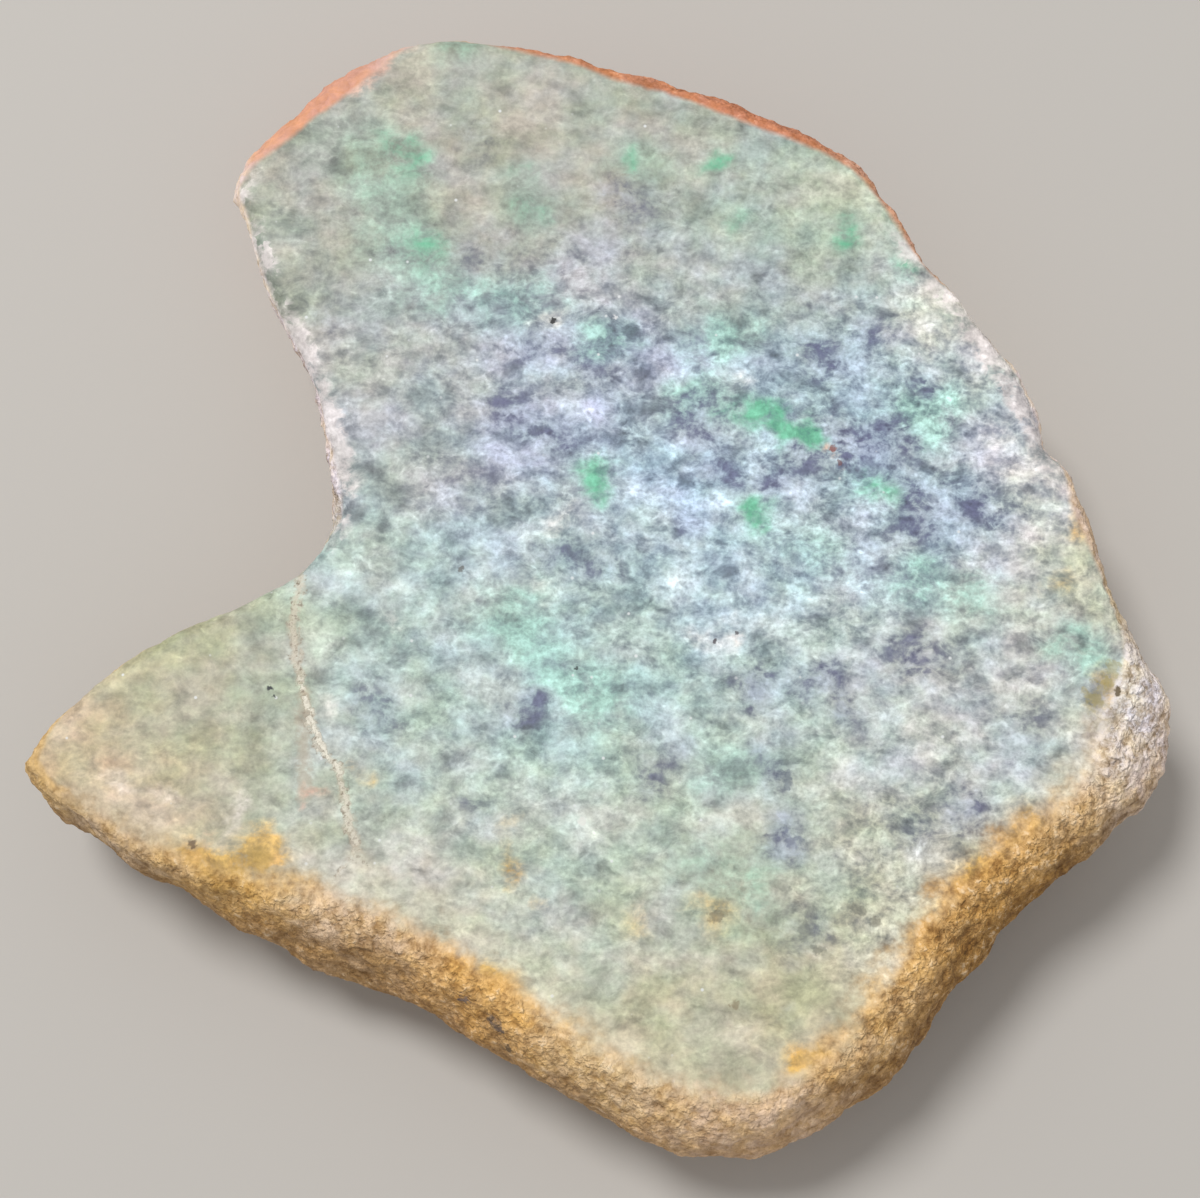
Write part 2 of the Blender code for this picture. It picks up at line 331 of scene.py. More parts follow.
rindZones = [
    # x, y, reach, colour near the cut, colour lower down (darker partly as painted shade), how much its
    # grains differ and its crevices are shaded and crests lit in paint, how far in mm the jade shows past the
    # edge of the cut
    (69.5, -6.2, 6, (228, 216, 192), (204, 188, 158), 0.8, 3.0),
    (76.5, -17.2, 9, (255, 253, 255), (255, 240, 234), 1.0, 0.0),    # east lobe, whitish, and lightened further as painted light where its side turns from the key
    (73.5, -27.2, 8, (254, 242, 228), (240, 218, 196), 1.0, 0.0),
    (66.5, -34.2, 9, (228, 190, 132), (176, 138, 88), 1.05, -0.6),
    (54.5, -44.2, 10, (225, 178, 108), (174, 131, 70), 1.15, -1.2),  # south-east, orange; its lower colour darkened as painted shade
    (38.5, -62.2, 9, (238, 198, 138), (180, 140, 88), 1.0, -0.8),
    (20.5, -76.2, 11, (236, 205, 168), (216, 182, 146), 0.7, 0.3),   # south tip, grey tan
    (-1.5, -70.2, 10, (234, 202, 152), (190, 156, 112), 0.85, -0.2),
    (-17.5, -60.2, 9, (236, 188, 114), (188, 148, 98), 0.95, -1.0),  # south-west, orange cream
    (-33.5, -50.2, 9, (234, 204, 166), (188, 152, 106), 0.9, -0.2),
    (-49.5, -42.2, 8, (226, 184, 112), (186, 148, 98), 0.85, -0.7),  # orange under the wing
    (-65.5, -38.2, 9, (214, 186, 148), (170, 136, 94), 0.85, -1.0),
    (-77.5, -28.2, 6, (220, 186, 128), (196, 160, 112), 0.7, 0.2),   # wing tip
    (-59.5, -8.2, 11, (204, 188, 158), (184, 162, 128), 0.6, 1.2),   # over the wing
    (-45.5, 3.8, 8, (204, 202, 190), (188, 172, 152), 0.9, 2.2),
    (-41.5, 19.8, 10, (244, 234, 236), (218, 202, 198), 0.9, 1.4),   # split side, whitish mauve
    (-49.5, 39.8, 9, (246, 236, 232), (222, 204, 196), 0.6, 1.2),
    (-55.5, 54.8, 7, (250, 236, 224), (230, 204, 184), 0.3, 1.2),
    (-41.5, 69.8, 10, (226, 166, 138), (208, 136, 100), 0.28, 0.4),  # north-west, pinkish orange
    (-25.5, 81.8, 8, (228, 196, 180), (218, 168, 146), 0.25, 1.8),
    (0.5, 78.8, 12, (207, 142, 106), (192, 130, 96), 0.65, 0.4),     # north, orange red
    (24.5, 69.8, 12, (207, 136, 102), (190, 128, 96), 0.65, 0.3),
    (44.5, 56.8, 11, (212, 160, 128), (192, 150, 118), 0.7, 1.0),
    (60.5, 29.8, 12, (252, 236, 226), (228, 202, 182), 0.5, 2.6),    # east, lightened as painted light where this side faces away from the key
    (70.5, 1.8, 9, (228, 202, 176), (204, 172, 142), 0.7, 0.6),
]
greens = [
    # x, y, half length, half width, turn in degrees, strength, as in the tables down to frosts
    (-28.7, 61.6, 3.8, 2.0, -20, 0.6),
    (-26.4, 58.9, 3.2, 2.5, -60, 0.6),
    (-24.5, 45.4, 4.0, 3.0, 10, 0.6),
    (-10.3, 57.7, 2.8, 1.8, 0, 0.5),
    (-9.4, 51.5, 3.8, 2.0, -20, 0.5),
    (4.7, 58.7, 2.0, 2.0, 0, 0.6),
    (16.5, 59.3, 2.8, 1.6, 0, 0.7),
    (19.6, 49.7, 2.5, 1.6, -30, 0.4),
    (34.4, 48.4, 2.2, 1.4, 0, 0.9),
    (43.9, 42.6, 3.0, 1.8, -30, 0.8),
    (-1.3, 12.5, 3.0, 3.0, 0, 0.9),
    (21, 22.4, 3.8, 1.8, -10, 0.8),
    (25, 20.6, 3.8, 1.8, -15, 1.2),
    (28.5, 19.2, 3.2, 1.6, -20, 1.4),
    (20.9, 8.4, 2.8, 2.0, -20, 1),
    (37.7, 12.2, 3.8, 2.5, -20, 0.7),
]
aquas = [
    (-30, 56, 5.0, 7.5, 20, 0.7),
    (-27.8, 46.8, 6.0, 4.5, 0, 0.75),
    (-21.5, 40.4, 7.5, 3.6, -12, 0.8),
    (-11, 38.5, 7.0, 3.0, 0, 0.7),
    (-9.7, 52.4, 4.0, 4.0, 0, 0.5),
    (-20.9, 76, 2.6, 2.6, 0, 0.8),
    (6.5, 58.5, 6.0, 3.0, -10, 0.4),
    (44.5, 22, 4.5, 3.5, -10, 1.3),
    (17.1, 32.3, 4.5, 3.0, 20, 1.2),
    (0.8, 32.9, 4.5, 2.5, 10, 1.0),
    (12.5, 24.1, 5.0, 3.0, 0, 1.1),
    (-10, -7.8, 6.0, 4.0, -30, 1.0),
    (-4.5, -14.9, 6.0, 3.0, -25, 1.0),
    (0.1, -18.3, 5.0, 3.5, 0, 0.8),
    (43.2, -1.9, 5.0, 3.5, -20, 0.8),
    (49.8, -4.1, 5.0, 3.0, -20, 0.7),
    (64.6, -10.8, 4.0, 4.5, 60, 0.8),
    (16.4, -27.9, 6.0, 3.0, 30, 0.6),
    (15.3, -39.8, 7.0, 4.0, -10, 0.6),
    (20.1, -43.6, 4.0, 4.0, 0, 0.7),
    (30.5, 1.8, 9.0, 4.0, -20, 0.5),
    (-15.5, 39.8, 9.0, 2.5, 10, 0.5),
    (-37.5, 7.8, 5.0, 5.0, 0, 0.4),
    (-47.5, -17.2, 4.0, 4.0, 0, 0.2),
]
lilacs = [
    (-14.5, 22.9, 2.9, 2.6, 0, 1),
    (-10.6, 22.3, 2.3, 2.6, 0, 1),
    (-5.3, 19.2, 3.4, 2.3, 10, 0.9),
    (-8.1, 32, 4.9, 2.6, 0, 0.6),
    (-1.6, 29.7, 4.4, 2.6, -20, 0.6),
    (-16.9, 46, 5.9, 4.5, 0, 0.5),
    (3, 53.7, 3.9, 2.9, 0, 0.8),
    (5.8, 51.5, 5.9, 3.9, 0, 0.7),
    (31, 30.8, 4.2, 2.9, -15, 1.1),
    (38.2, 33.8, 3.4, 2.6, 0, 0.9),
    (44.5, 25.9, 3.1, 2.1, -20, 0.7),
    (13.1, 21.3, 4.4, 2.9, 0, 1.2),
    (16.9, 14.3, 3.4, 2.3, -30, 1.1),
    (33.8, 18.2, 4.2, 3.4, 0, 1),
    (39.8, 18.7, 4.9, 2.9, -10, 1),
    (27.6, 15.9, 3.9, 2.6, 0, 0.7),
    (23.4, 12.4, 3.4, 2.6, 0, 0.7),
    (43, 10.8, 2.9, 2.3, 0, 1.1),
    (43.4, 6.3, 3.9, 2.6, -20, 1),
    (51.2, 8.6, 5.2, 3.4, -20, 0.8),
    (13, 7.4, 2.6, 1.8, 0, 0.6),
    (-5.7, 2.4, 3.1, 2.3, 0, 1),
    (-0.7, 0.6, 3.9, 2.6, 0, 0.7),
    (-9.9, -18.2, 2.9, 2.6, 0, 1),
    (-30.3, -18.3, 4.2, 2.6, 0, 0.7),
    (-27.7, -21, 2.6, 2.1, 0, 0.6),
    (-17.1, -32.3, 2.6, 2.1, 0, 0.6),
    (20.9, -15.2, 2.6, 2.6, 0, 1.2),
    (29.7, -15.2, 3.4, 2.1, 0, 1),
    (32.5, -18, 2.6, 4.2, 20, 1),
    (42.4, -11.4, 5.2, 3.4, 0, 0.8),
    (21.9, -25.2, 2.3, 3.4, 20, 0.8),
    (23, -28.4, 2.1, 3.1, 0, 0.8),
    (24.4, -36, 3.6, 2.9, 40, 1.2),
    (48.9, -32.8, 3.1, 4.2, 20, 0.8),
    (9.4, -25.2, 2.6, 2.1, 0, 0.6),
    (6.7, -27.9, 2.6, 2.9, 0, 0.6),
    (41.2, -36.7, 3.9, 2.6, 0, 0.5),
    (27, -48.9, 3.9, 4.4, 0, 0.6),
    (23.6, -58.4, 3.1, 2.3, 0, 0.4),
    (-38.4, 35.1, 3.4, 3.1, 0, 0.5),
    (-17.5, 62.5, 3.4, 4.2, 0, 0.5),
    (-18.5, 12.8, 6.5, 3.9, 0, 0.35),
    (55.5, -20.2, 6.5, 5.2, 0, 0.4),
    (30.5, 39.8, 7.8, 3.9, -20, 0.35),
    (-1.5, 44.8, 7.8, 3.9, 0, 0.35),
]
stains = [
    (-44.2, -38.2, 3.4, 3.0, 0, 1.5),
    (-50.7, -39.4, 4.8, 1.7, -12, 1.4),
    (-12.2, -41, 1.2, 2.8, 0, 1.0),
    (-8.6, -45, 1.0, 1.4, 0, 0.5),
    (-20.2, -54.2, 3.0, 2.0, -20, 0.9),
    (-13.6, -55.4, 4.0, 2.6, -35, 1.0),
    (-32.9, -49.9, 3.0, 1.6, 0, 0.5),
    (56.3, -36.1, 5.5, 3.4, 35, 1.1),
    (50.5, -41.2, 5.5, 3.4, 40, 1.0),
    (44.7, -50, 5.0, 3.0, 60, 0.8),
    (38.5, -58.2, 5.0, 2.5, 50, 0.5),
    (27.7, -64.7, 4.5, 2.4, 25, 1.1),
    (67.2, -15.6, 2.4, 3.0, 30, 0.9),
    (62, -1.8, 2.8, 1.4, 0, 0.5),
    (64.8, 7, 1.6, 2.4, 20, 0.7),
    (-11.6, -34.8, 1.9, 1.9, 0, 0.4),
    (4.8, -47, 2.6, 2.6, 0, 0.35),
    (14.6, -46.2, 3.0, 2.8, 0, 0.5),
    (67.4, -22, 1.6, 5.0, 0, 0.5),
    (-31.6, -27.3, 1.4, 1.8, 0, 0.6),
    (-76.5, -28.2, 2.0, 3.4, 20, 0.6),
]
pales = [
    (-36, -18.2, 1.2, 2.0, -20, 0.5),
    (15.4, -9.3, 3.2, 2.0, -20, 0.55),
    (18.6, -6.6, 2.6, 1.8, 10, 0.4),
    (-63.8, -27.6, 4.0, 1.6, -20, 0.5),
    (-58.5, -30.4, 3.4, 1.4, -25, 0.5),
    (-38.4, -41.6, 5.5, 1.5, -24, 0.8),
    (-30.6, -44.8, 4.0, 1.4, -20, 0.6),
    (-48.1, -33, 1.4, 3.2, -15, 0.9),
    (-28.5, -6.3, 2.2, 1.2, -10, 0.8),
    (-7.1, 36.7, 2.2, 1.6, 0, 0.8),
    (-5.1, 7.4, 2.6, 1.8, 10, 0.7),
    (-8.5, -2, 3.0, 2.0, 0, 0.5),
    (54.9, 20.1, 3.0, 2.0, 0, 0.5),
    (20.5, 26.4, 2.4, 1.4, -10, 0.5),
    (-34.5, 11.8, 4.0, 2.2, 60, 0.6),
    (5.5, -45.6, 1.6, 1.4, 0, 0.4),
]
blushes = [
    (-38.0, -30.5, 1.8, 1.2, 0, 1.0),
    (31.7, 17.3, 1.3, 0.9, 0, 0.9),
    (33.2, 14.8, 0.8, 1.0, 0, 0.7),
    (13.0, -69.6, 1.2, 2.4, 0, 0.7),
    (-21.5, -54.8, 3.2, 1.4, -30, 0.6),
    (-32.5, 72.4, 5.5, 1.4, 36, 1.1),
    (-43.0, 65.8, 2.6, 1.0, 42, 0.6),
    (18.2, -9.6, 1.6, 1.0, 0, 0.4),
    (-5.9, 5.4, 1.6, 1.4, 0, 0.3),
    (51.0, 11.5, 2.6, 1.4, -30, 0.4),
    (-50.8, -36.0, 1.4, 2.2, 20, 0.5),
    (-28.0, -41.5, 2.4, 1.2, -30, 0.4),
]
frosts = [  # broken whitish grain along the edge of the cut
    (-52, 54, 6.0, 6.0, 0, 0.4),
    (-47, 45, 7.0, 7.0, 0, 0.6),
    (-41, 32, 8.0, 8.0, 0, 1.0),
    (-38, 18, 8.0, 8.0, 0, 1.0),
    (-38, 7, 5.0, 5.0, 0, 0.6),
    (47, 47, 8.0, 8.0, 0, 0.7),
    (56, 35, 8.0, 8.0, 0, 1.0),
    (62, 22, 8.0, 8.0, 0, 1.0),
]
crackRoute = [
    (-40.7, -0.7), (-40.9, -5.0), (-41.6, -8.4), (-40.3, -12.8), (-40.1, -16.3), (-38.6, -19.3),
    (-37.5, -23.6), (-35.0, -26.8), (-33.9, -30.2), (-33.1, -33.6), (-32.6, -37.4),
]
crackSeam = [(-39.6, -16.5), (-39.3, -23.0), (-39.4, -30.5)]  # a faint wide band that leaves it
crackForks = [  # two short forks at its south end, and a strand beside its start
    [(-32.6, -37.4), (-34.8, -41.6)],
    [(-32.6, -37.4), (-30.8, -40.1)],
    [(-40.3, -2.5), (-40.2, -8.0), (-39.9, -12.5)],
]

patches = dict(green=greens, aqua=aquas, lilac=lilacs, stain=stains, pale=pales, blush=blushes)
patchFall = 0.9         # how fast a patch fades towards its outline
patchOverlap = 0.8      # how much of the weaker patch is lost where two meet
waves = dict(           # how far in mm the painted outlines are pushed about, and the size of the waves
    patch=(2.4, 5.0),
    ripple=(1.4, 2.0),
    crack=(0.8, 2.2),
    rind=(3.0, 6.0),
    deep=(5.0, 6.0),
)
bands = dict(           # mm; where each of these begins and where it is full
    frostInner=(3.2, 0.4),      # inside the cut's edge
    frostOuter=(-4, -1),
    rindDeep=(2.0, 13.0),       # outside the cut's edge, the rind's lower colour with its painted shade
    crackFilled=(12, 17),       # south of the middle, the crack's pale core
    crackEmptied=(24, 30),      # south of the middle, where half of it is lost again
)


def wave(places, kind, shift=0.0):
    reach, size = waves[kind]
    return reach * roughly(places, size, shift)


def patchField(places, rows):
    found = np.zeros(len(places))
    for x, y, length, width, turn, strength in rows:
        angle = math.radians(turn)
        east = places[:, 0] - x
        north = places[:, 1] - y
        along = (east * math.cos(angle) + north * math.sin(angle)) / length
        across = (north * math.cos(angle) - east * math.sin(angle)) / width
        value = strength * np.exp(-patchFall * (along ** 2 + across ** 2))
        found = found + value - np.minimum(found, value) * patchOverlap
    return found


def zoneBlend(places, table, column):  # what a table says at each place, nearer rows counting more
    first = table[0][column]
    width = len(first) if isinstance(first, tuple) else 1
    total = np.zeros((len(places), width))
    weights = np.zeros(len(places))
    for row in table:
        x, y, reach = row[:3]
        weight = np.exp(-((places[:, 0] - x) ** 2 + (places[:, 1] - y) ** 2) / reach ** 2) + 1e-6
        value = paintOf(*row[column]) if width == 3 else [row[column]]
        total += weight[:, None] * np.array(value)
        weights += weight
    return total / weights[:, None]


def paintFace(piece, places, inset):
    swirl = places.copy()  # pushed about so that no patch has a plain outline
    swirl[:, 0] += wave(places, "patch") + wave(places, "ripple", 7.3)
    swirl[:, 1] += wave(places, "patch", 31.7) + wave(places, "ripple", 53.1)
    for name, rows in patches.items():
        addField(piece, name, patchField(swirl, rows))
    frosted = patchField(places, frosts) * eased(inset, *bands["frostInner"])
    addField(piece, "frost", frosted * eased(inset, *bands["frostOuter"]))
    addField(piece, "contrast", zoneBlend(swirl, zones, 4)[:, 0])
    addColourField(piece, "tint", zoneBlend(swirl, zones, 3))


def paintCrack(piece, places):
    wander = places.copy()
    wander[:, 0] += wave(places, "crack", 11.0)
    wander[:, 1] += wave(places, "crack", 17.0)
    addField(piece, "crack", awayFromLine(wander, crackRoute))
    addField(piece, "seam", awayFromLine(wander, crackSeam))
    addField(piece, "fork", np.min([awayFromLine(wander, fork) for fork in crackForks], axis=0))
    filled = 0.25 + 0.75 * eased(-places[:, 1], *bands["crackFilled"])
    addField(piece, "crackFill", filled * (1 - 0.5 * eased(-places[:, 1], *bands["crackEmptied"])))


def paintRind(piece, places, inset):
    # the rind grows darker lower down, partly its own colour and partly painted shade where its side turns
    # under
    deep = eased(-inset + wave(places, "deep", 3.3), *bands["rindDeep"])[:, None]
    spread = places + wave(places, "rind", 71.0)[:, None]
    upper = zoneBlend(spread, rindZones, 3)
    lower = zoneBlend(spread, rindZones, 4)
    addColourField(piece, "rindTintAndShade", upper * (1 - deep) + lower * deep)
    addField(piece, "rindContrast", zoneBlend(spread, rindZones, 5)[:, 0])
    addField(piece, "showing", inset + zoneBlend(places, rindZones, 6)[:, 0])


def paintStone(piece):
    places = placesOf(piece)
    inset = fieldOf(piece, "inset")
    addField(piece, "south", southOf(places))
    paintFace(piece, places, inset)
    paintCrack(piece, places)
    paintRind(piece, places, inset)
    print("stone painted")


class Wire:  # one socket of a node tree, with the usual operators
    def __init__(self, tree, socket=None):
        self.tree = tree
        self.socket = socket

    def add(self, kind, settings=None, sockets=None, out=0):
        node = self.tree.nodes.new(kind)
        for name, value in (settings or {}).items():
            setattr(node, name, value)
        for name, value in (sockets or {}).items():
            if isinstance(value, Wire):
                self.tree.links.new(value.socket, node.inputs[name])
            else:
                node.inputs[name].default_value = value
        return Wire(self.tree, node.outputs[out]) if len(node.outputs) else None

    def maths(self, operation, first, second):
        return self.add("ShaderNodeMath", {"operation": operation}, {0: first, 1: second})

    def __add__(self, other):
        return self.maths("ADD", self, other)

    __radd__ = __add__

    def __sub__(self, other):
        return self.maths("SUBTRACT", self, other)

    def __rsub__(self, other):
        return self.maths("SUBTRACT", other, self)

    def __mul__(self, other):
        return self.maths("MULTIPLY", self, other)

    def other(self, out):  # another output of the same node
        return Wire(self.tree, self.socket.node.outputs[out])

    def away(self, value):  # how far from a value, either way
        return self.add("ShaderNodeMath", {"operation": "ABSOLUTE"}, {0: self - value})

    def most(self, other):
        return self.maths("MAXIMUM", self, other)

    def least(self, other):
        return self.maths("MINIMUM", self, other)

    def notBelow(self, floor, softness):
        return self.add("ShaderNodeMath", {"operation": "SMOOTH_MAX"}, {0: self, 1: floor, 2: softness})

    def eased(self, low, high):  # 0 at low, 1 at high, with a smooth start and end
        return self.add("ShaderNodeMapRange", {"interpolation_type": "SMOOTHSTEP"},
                        {"Value": self, "From Min": low, "From Max": high})

    def ranged(self, low, high):  # 0 at low, 1 at high, in a straight line
        return self.add("ShaderNodeMapRange", {"interpolation_type": "LINEAR"},
                        {"Value": self, "From Min": low, "From Max": high})

    def field(self, name):
        return self.add("ShaderNodeAttribute", {"attribute_name": name}, out=2)

    def colourField(self, name):
        return self.add("ShaderNodeAttribute", {"attribute_name": name}, out=0)

    def mixed(self, share, one, other, blend="MIX"):
        one = one if isinstance(one, Wire) else (*one, 1)
        other = other if isinstance(other, Wire) else (*other, 1)
        return self.add("ShaderNodeMix", {"data_type": "RGBA", "blend_type": blend},
                        {0: share, 6: one, 7: other}, out=2)

    def times(self, one, other):  # two colours multiplied, or a colour and its light
        return self.mixed(1.0, one, other, "MULTIPLY")

    def vectors(self, operation, first, second, out=0):
        return self.add("ShaderNodeVectorMath", {"operation": operation}, {0: first, 1: second}, out)

    def scaled(self, vector, scale):
        return self.add("ShaderNodeVectorMath", {"operation": "SCALE"}, {0: vector, "Scale": scale})

    def noise(self, places, size, detail=2.0, rough=0.5, warp=0.0):
        return self.add("ShaderNodeTexNoise", None,
                        {"Vector": places, "Scale": 1 / size, "Detail": detail, "Roughness": rough,
                         "Distortion": warp})

    def cells(self, places, size, feature="F1"):
        return self.add("ShaderNodeTexVoronoi", {"feature": feature}, {"Vector": places, "Scale": 1 / size})

    def dots(self, places, size, core, rim, rare, common):  # round dots in some of the cells
        cell = self.cells(places, size)
        return (1 - cell.eased(core, rim)) * cell.other(1).eased(rare, common)

    def pushed(self, places, size, reach):  # places shifted about by noise
        centred = self.vectors("SUBTRACT", self.noise(places, size, 2).other(1), (0.5, 0.5, 0.5))
        return self.vectors("ADD", places, self.scaled(centred, reach))

    def spot(self, places, middle, radius):  # 1 inside a small round mark
        away = self.vectors("DISTANCE", places, middle, out=1)
        return 1 - away.eased(radius * 0.6, radius * 1.2)


jade = dict(
    foliation=22.0,                 # degrees, how the grains lie, falling to the east
    stretch=0.78,                   # how far they are drawn out
    gain=1.28,                      # how strongly the grains' shades differ
    darkest=0.34,                   # a dark grain's light beside the ground's
    largeGrain=(2.5, 0.26, 0.7),    # mm across, its seam's width, how far the seam hides its shade
    smallGrain=(1.25, 0.3, 0.6),
    broadSize=7.0,                  # mm, the sizes of the noise that clouds the grains
    middleSize=3.2,
    fineSize=0.7,
    veilSize=4.5,
    hueSize=7.0,
    warmthSize=8.5,
    fibreSize=2.4,
    fibreThin=20,                   # how thin the whitish fibres are
    fleckSize=1.3,
    glintSize=2.8,
    stainSize=4.0,
    bends=((3.4, 2.6), (1.0, 0.9)),     # mm, the size of each bend in the grains and its reach
    raggedness=2.6,                 # how much the middle noise counts
    tearing=1.3,                    # how much it breaks up the patches' outlines
    darkHue=(0.95, 1.0, 1.14),
    greenDrift=(0.95, 1.035, 0.985),
    lilacDrift=(1.03, 0.975, 1.05),
    warmDrift=(1.05, 1.0, 0.92),
    coolDrift=(0.97, 1.0, 1.04),
    glint=(0.88, 0.9, 0.9),
    lilacDark=(106, 105, 147),
    vein=(92, 184, 142),
    aquaTint=(162, 208, 194),
    mint=(158, 194, 172),
    lilacTint=(156, 164, 188),
    paleTint=(232, 222, 214),
    ochre=(198, 158, 76),
    orange=(212, 164, 84),
    blush=(216, 168, 146),
    frost=(226, 216, 214),
    fog=(216, 208, 184),
)
shades = dict(                      # how strongly each layer of the grain lightens or darkens it
    broad=0.65,
    large=0.44,
    blob=0.34,
    largeSeam=0.26,
    fibre=0.2,
    lilac=0.22,
    depthDrop=0.1,
    small=0.42,
    smallSeam=0.12,
    fleck=0.3,
    fine=1.0,
    textureDrop=0.05,
)
shares = dict(                      # how much of the jade each layer of colour covers at its fullest
    vein=0.85,
    lilacDark=0.6,
    glint=0.8,
    stain=0.85,
    blush=0.7,
    frost=0.75,
    haze=0.6,
)
crack = dict(
    band=(204, 184, 158),
    core=(248, 242, 224),
    grit=(126, 110, 90),
    bandShare=0.58,
    coreShare=0.95,
    gritShare=0.75,
    seamShare=0.42,
    coreSize=0.9,                   # mm, the breaks in the core
    forkGap=0.25,                   # mm that the forks are thinner by
)
rind = dict(
    # the crests' paint is a painted highlight, and the crevices' hue a painted shade, partly the rind's own
    # brown
    crestHighlight=(244, 232, 208),
    creviceShadeHue=(1.06, 0.9, 0.70),
    yellowing=(1.06, 0.99, 0.82),
    greying=(0.97, 0.97, 1.06),
    flattened=0.75,                 # below 1 the crumbs stand taller than they are wide
    crumbSize=2.0,                  # mm
    knobSize=1.3,
    grainSize=0.65,
    gritSize=0.6,
    patchSize=3.6,
    bend=(1.2, 1.3),                # mm, the size of the bends in the knobs and their reach
    light=1.05,                     # its mean light beside its colour
    # how much of the crests the painted highlight covers
    crestHighlightShare=0.45,
    crispEdge=(-0.7, 0.55),         # mm across the cut's edge where the rind gives way to jade
    softEdge=(-3.4, 2.2),           # mm the same where the edge is weathered
)
surface = dict(
    faceRough=0.50,
    rindRougher=0.38,               # how much rougher the rind is
    fineRougher=0.1,                # how much it varies from grain to grain
    bumpDepth=0.0006,               # m
    ior=1.6,
    specular=0.35,
)
# how high each layer stands in the bump
heights = dict(crumb=1.0, knob=0.4, grain=0.34, grit=0.3, fine=0.05, crack=0.15)
marks = [
    # x, y, z, radius in mm, colour, strength
    (-6.4, 35.5, 28, 0.5, (38, 38, 40), 1.0),
    (-44.1, -16, 28, 0.5, (46, 50, 52), 1.0),
    (-43.7, -17.1, 28, 0.3, (46, 50, 52), 0.9),
    (-3, -13.3, 28, 0.3, (60, 70, 70), 0.9),
    (-18.7, 0.3, 28, 0.5, (92, 84, 76), 0.7),
    (31.9, 17.1, 28, 0.5, (150, 78, 66), 0.8),
    (32.9, 15.2, 28, 0.4, (120, 66, 62), 0.7),
    (15.6, -9.6, 28, 0.4, (78, 68, 76), 0.9),
    (18.3, -8.4, 28, 0.3, (78, 68, 76), 0.8),
    (-2.3, -33.9, 28, 0.6, (240, 240, 232), 0.8),
    (2.2, 36.1, 28, 0.4, (240, 240, 240), 0.8),
    (-17.9, -57.2, 25.5, 1.1, (108, 98, 102), 0.85),
    (-13.8, -60.5, 25, 1.2, (104, 94, 92), 0.8),
    (-12.2, -63.7, 22.2, 1.0, (96, 80, 62), 0.8),
    (-53.8, -37, 28, 0.6, (104, 80, 56), 0.8),
    (69.4, -16.4, 28, 0.7, (96, 78, 44), 0.9),
    (66.0, -17.6, 28, 1.4, (180, 164, 96), 0.55),
    (67.6, -15.4, 28, 1.3, (174, 158, 84), 0.6),
    (69, -13.2, 28, 1.3, (172, 162, 96), 0.5),
    (-44.6, -38.8, 28, 2.0, (190, 154, 64), 0.4),
    (-47.6, -39.6, 28, 1.4, (198, 158, 72), 0.3),
    (15.4, -46.6, 28, 1.1, (124, 112, 88), 0.6),
    (26.8, -48.3, 28, 1.2, (120, 124, 116), 0.5),
    (28.6, -50.8, 28, 1.0, (112, 114, 104), 0.5),
    (34, -45.4, 28, 1.2, (114, 114, 102), 0.5),
    (36.2, -47.2, 28, 0.8, (104, 98, 84), 0.5),
    (17.7, -58, 28, 0.7, (134, 114, 84), 0.6),
    (24.6, -28.6, 28, 1.2, (80, 90, 112), 0.6),
    (25.2, -36.4, 28, 1.4, (92, 98, 130), 0.6),
]
rip = (0.6, 1.2)        # mm, the size of the bends in a mark's outline and their reach
fray = (1.7, 3.6)       # mm the same for wide marks, on top of it
frayedFrom = 0.9        # mm, the radius past which a mark is wide


def sharedGrain(tree):  # the places, fields and noise that several layers of the finish read
    pen = Wire(tree)
    places = pen.scaled(pen.add("ShaderNodeTexCoord", out=3), 1 / mm)
    laid = pen.add("ShaderNodeMapping", None, {
        "Vector": places,
        "Rotation": (0, 0, math.radians(jade["foliation"])),
        "Scale": (jade["stretch"], 1, 1),
    })
    swirled = laid
    for size, reach in jade["bends"]:
        swirled = pen.pushed(swirled, size, reach)
    middle = pen.noise(laid, jade["middleSize"], 4, 0.7, 0.3)
    return SimpleNamespace(
        pen=pen,
        places=places,
        laid=laid,
        swirled=swirled,
        middle=middle,
        ragged=(middle - 0.5) * jade["raggedness"],
        fine=pen.noise(places, jade["fineSize"], 2, 0.6),
        veil=pen.noise(places, jade["veilSize"], 2, 0.5),
        showing=pen.field("showing"),
        south=pen.field("south"),
        lilac=pen.field("lilac"),
        contrast=pen.field("contrast"),
    )


def torn(grain, patch):  # a patch with its outline broken up by the grain
    return patch * (1 + grain.ragged * jade["tearing"])


def groundColour(grain):  # drifts between green and lilac and between warm and cool
    pen = grain.pen
    greenShare = pen.noise(grain.laid, jade["hueSize"], 3, 0.6).ranged(0.36, 0.64)
    coolShare = pen.noise(grain.places, jade["warmthSize"], 3, 0.6).ranged(0.38, 0.62)
    hue = pen.mixed(greenShare, jade["greenDrift"], jade["lilacDrift"])
    warmth = pen.mixed(coolShare, jade["coolDrift"], jade["warmDrift"])
    ground = pen.times(pen.colourField("tint"), pen.times(hue, warmth))
    aquaShare = grain.contrast.ranged(0.58, 0.78)
    aquaPaint = pen.mixed(aquaShare, paintOf(*jade["mint"]), paintOf(*jade["aquaTint"]))
    washes = [
        # field, where the wash starts and where it is full, its share, its paint
        ("aqua", 0.08, 0.95, 0.75, aquaPaint),
        ("green", 0.02, 0.5, 0.45, aquaPaint),
        ("lilac", 0.2, 1.2, 0.55, paintOf(*jade["lilacTint"])),
        ("pale", 0.2, 0.9, 0.6, paintOf(*jade["paleTint"])),
    ]
    for name, start, full, share, paint in washes:
        ground = pen.mixed(torn(grain, pen.field(name)).ranged(start, full) * share, ground, paint)
    return ground


